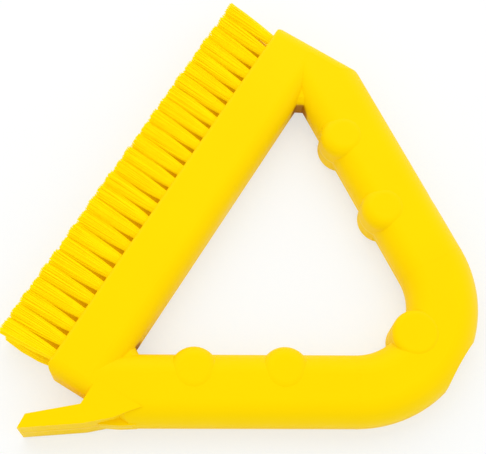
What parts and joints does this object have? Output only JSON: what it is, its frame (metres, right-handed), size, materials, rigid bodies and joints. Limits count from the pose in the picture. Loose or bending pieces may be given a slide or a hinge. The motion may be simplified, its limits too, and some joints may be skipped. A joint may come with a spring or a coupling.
{
  "type": "grout brush",
  "caption": "Yellow plastic grout brush with a closed triangular grip, rounded finger studs, an end scraper and a long straight head of bristle tufts held by steel anchor plates",
  "frame": {"origin": "middle of the head's lower flat side, half a head depth behind the bristle face and midway along the head", "axes": "+X from the bristle face towards the grip's corner, +Y along the head away from the scraper, +Z across the thickness"},
  "size_m": [0.1963, 0.247, 0.0258],
  "materials": {
    "plastic": "satin injection moulding",
    "bristle": "bundled plastic filament",
    "steel": "cut strip"
  },
  "bodies": {
    "root": {"handle": "plastic", "tuft_row_middle": "bristle", "anchors_upper": "steel", "anchors_middle": "steel", "anchors_lower": "steel", "tuft_upper_01": "bristle", "tuft_upper_02": "bristle", "tuft_upper_03": "bristle", "tuft_upper_04": "bristle", "tuft_upper_05": "bristle", "tuft_upper_06": "bristle", "tuft_upper_07": "bristle", "tuft_upper_08": "bristle", "tuft_upper_09": "bristle", "tuft_upper_10": "bristle", "tuft_upper_11": "bristle", "tuft_upper_12": "bristle", "tuft_upper_13": "bristle", "tuft_upper_14": "bristle", "tuft_upper_15": "bristle", "tuft_upper_16": "bristle", "tuft_upper_17": "bristle", "tuft_upper_18": "bristle", "tuft_upper_19": "bristle", "tuft_upper_20": "bristle", "tuft_upper_21": "bristle", "tuft_upper_22": "bristle", "tuft_upper_23": "bristle", "tuft_upper_24": "bristle", "tuft_upper_25": "bristle", "tuft_upper_26": "bristle", "tuft_lower_01": "bristle", "tuft_lower_02": "bristle", "tuft_lower_03": "bristle", "tuft_lower_04": "bristle", "tuft_lower_05": "bristle", "tuft_lower_06": "bristle", "tuft_lower_07": "bristle", "tuft_lower_08": "bristle", "tuft_lower_09": "bristle", "tuft_lower_10": "bristle", "tuft_lower_11": "bristle", "tuft_lower_12": "bristle", "tuft_lower_13": "bristle", "tuft_lower_14": "bristle", "tuft_lower_15": "bristle", "tuft_lower_16": "bristle", "tuft_lower_17": "bristle", "tuft_lower_18": "bristle", "tuft_lower_19": "bristle", "tuft_lower_20": "bristle", "tuft_lower_21": "bristle", "tuft_lower_22": "bristle", "tuft_lower_23": "bristle", "tuft_lower_24": "bristle", "tuft_lower_25": "bristle", "tuft_lower_26": "bristle"}
  },
  "joints": []
}
